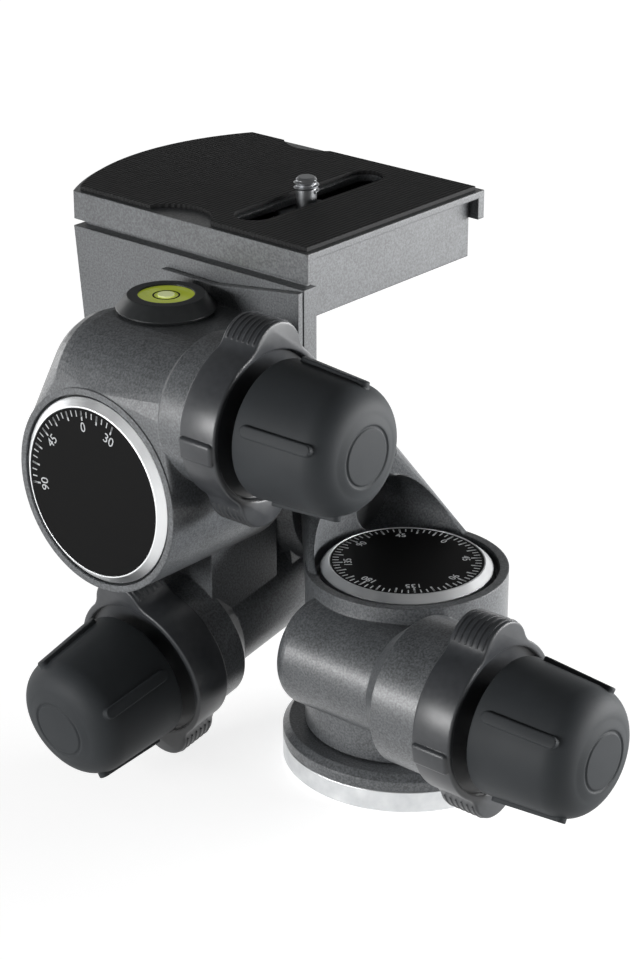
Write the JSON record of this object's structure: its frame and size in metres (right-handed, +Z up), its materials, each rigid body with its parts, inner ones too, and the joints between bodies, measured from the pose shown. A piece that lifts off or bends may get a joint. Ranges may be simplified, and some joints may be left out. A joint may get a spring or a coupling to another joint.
{
  "type": "geared tripod head",
  "caption": "Three-way geared camera head: pan, tilt and roll drives with rubber knobs and quick-release collars, dials, bubble level and sliding camera plate.",
  "frame": {"origin": "centre of the round base's underside, on the pan axis", "axes": "+Z up along the pan axis; +X toward the pan and roll knobs; -Y toward the roll dial and the tilt knob"},
  "size_m": [0.184, 0.1285, 0.1332],
  "materials": {
    "casting": "textured charcoal powder coat",
    "knob_rubber": "matte soft-touch rubber",
    "collar_black": "semi-gloss black",
    "bezel_bright": "satin bright ring",
    "base_bright": "turned bright disc",
    "dial_black": "gloss black",
    "steel": "machined",
    "brass": "machined",
    "pad_rubber": "finely ribbed black rubber",
    "level_black": "satin black",
    "vial": "yellow-green liquid",
    "bubble": "clear",
    "lever_black": "satin black"
  },
  "bodies": {
    "base": {"base_disc": "base_bright", "thread_insert": "steel", "base_ring": "casting", "base_screws": "steel", "spindle": "steel", "pan_wheel": "brass", "pan_dial": "dial_black"},
    "pan_body": {"pan_housing": "casting", "pan_bezel": "bezel_bright", "pan_bearing_plate": "steel", "pan_bushes": "brass", "pan_end_cap": "casting", "tilt_axle": "steel", "tilt_wheel": "brass", "tilt_dial": "dial_black"},
    "pan_release": {"pan_sleeve": "steel", "pan_collar": "collar_black"},
    "pan_drive": {"pan_knob": "knob_rubber", "pan_shaft": "steel", "pan_worm": "steel"},
    "tilt_body": {"tilt_housing": "casting", "roll_bezel": "bezel_bright", "tilt_bezel": "bezel_bright", "roll_bearing_plate": "steel", "tilt_bearing_plate": "steel", "roll_bushes": "brass", "tilt_bushes": "brass", "roll_end_cap": "casting", "tilt_end_cap": "casting", "level_body": "level_black", "level_vial": "vial", "level_bubble": "bubble"},
    "tilt_release": {"tilt_sleeve": "steel", "tilt_collar": "collar_black"},
    "tilt_drive": {"tilt_knob": "knob_rubber", "tilt_shaft": "steel", "tilt_worm": "steel"},
    "roll_release": {"roll_sleeve": "steel", "roll_collar": "collar_black"},
    "roll_drive": {"roll_knob": "knob_rubber", "roll_shaft": "steel", "roll_worm": "steel"},
    "platform": {"platform_bracket": "casting", "roll_axle": "steel", "roll_wheel": "brass", "roll_dial": "dial_black", "bracket_screws": "steel", "clamp_pin": "steel"},
    "clamp": {"clamp_lever": "lever_black"},
    "plate": {"camera_plate": "casting", "plate_pad": "pad_rubber"},
    "screw_carriage": {"camera_screw": "steel"}
  },
  "joints": [
    {"name": "pan", "type": "hinge", "parent": "base", "child": "pan_body", "pos_m": [0, 0, 0.034], "axis": [0, 0, 1], "continuous": true},
    {"name": "pan_release_twist", "type": "hinge", "parent": "pan_body", "child": "pan_release", "pos_m": [0.04, -0.022, 0.034], "axis": [1, 0, 0], "range_deg": [0, 35], "stiffness_Nm_per_rad": 0.3},
    {"name": "pan_knob_turn", "type": "hinge", "parent": "pan_body", "child": "pan_drive", "pos_m": [0.05, -0.022, 0.034], "axis": [1, 0, 0], "continuous": true},
    {"name": "tilt", "type": "hinge", "parent": "pan_body", "child": "tilt_body", "pos_m": [-0.048, 0.0145, 0.057], "axis": [-1, 0, 0], "range_deg": [-30, 90]},
    {"name": "tilt_release_twist", "type": "hinge", "parent": "tilt_body", "child": "tilt_release", "pos_m": [-0.048, -0.04043, 0.02434], "axis": [0, -0.9829, -0.184], "range_deg": [0, 35], "stiffness_Nm_per_rad": 0.3},
    {"name": "tilt_knob_turn", "type": "hinge", "parent": "tilt_body", "child": "tilt_drive", "pos_m": [-0.048, -0.04534, 0.02342], "axis": [0, -0.9829, -0.184], "range_deg": [-1440, 4320]},
    {"name": "roll", "type": "hinge", "parent": "tilt_body", "child": "platform", "pos_m": [-0.052, -0.035, 0.073], "axis": [0, 1, 0], "range_deg": [-90, 30]},
    {"name": "roll_release_twist", "type": "hinge", "parent": "tilt_body", "child": "roll_release", "pos_m": [-0.012, -0.035, 0.095], "axis": [-1, 0, 0], "range_deg": [0, 35], "stiffness_Nm_per_rad": 0.3},
    {"name": "roll_knob_turn", "type": "hinge", "parent": "tilt_body", "child": "roll_drive", "pos_m": [-0.009, -0.035, 0.095], "axis": [1, 0, 0], "range_deg": [-1440, 4320]},
    {"name": "clamp_turn", "type": "hinge", "parent": "platform", "child": "clamp", "pos_m": [-0.104, 0.0225, 0.106], "axis": [0, 0, 1], "range_deg": [0, 60]},
    {"name": "plate_lift", "type": "slide", "parent": "platform", "child": "plate", "axis": [0, 0, 1], "range_m": [0, 0.012]},
    {"name": "screw_slide", "type": "slide", "parent": "plate", "child": "screw_carriage", "axis": [0, 1, 0], "range_m": [-0.016, 0.016]}
  ],
  "couplings": [
    {"joint": "pan_knob_turn", "follows": "pan", "ratio": 48},
    {"joint": "tilt_knob_turn", "follows": "tilt", "ratio": 48},
    {"joint": "roll_knob_turn", "follows": "roll", "ratio": -48}
  ]
}
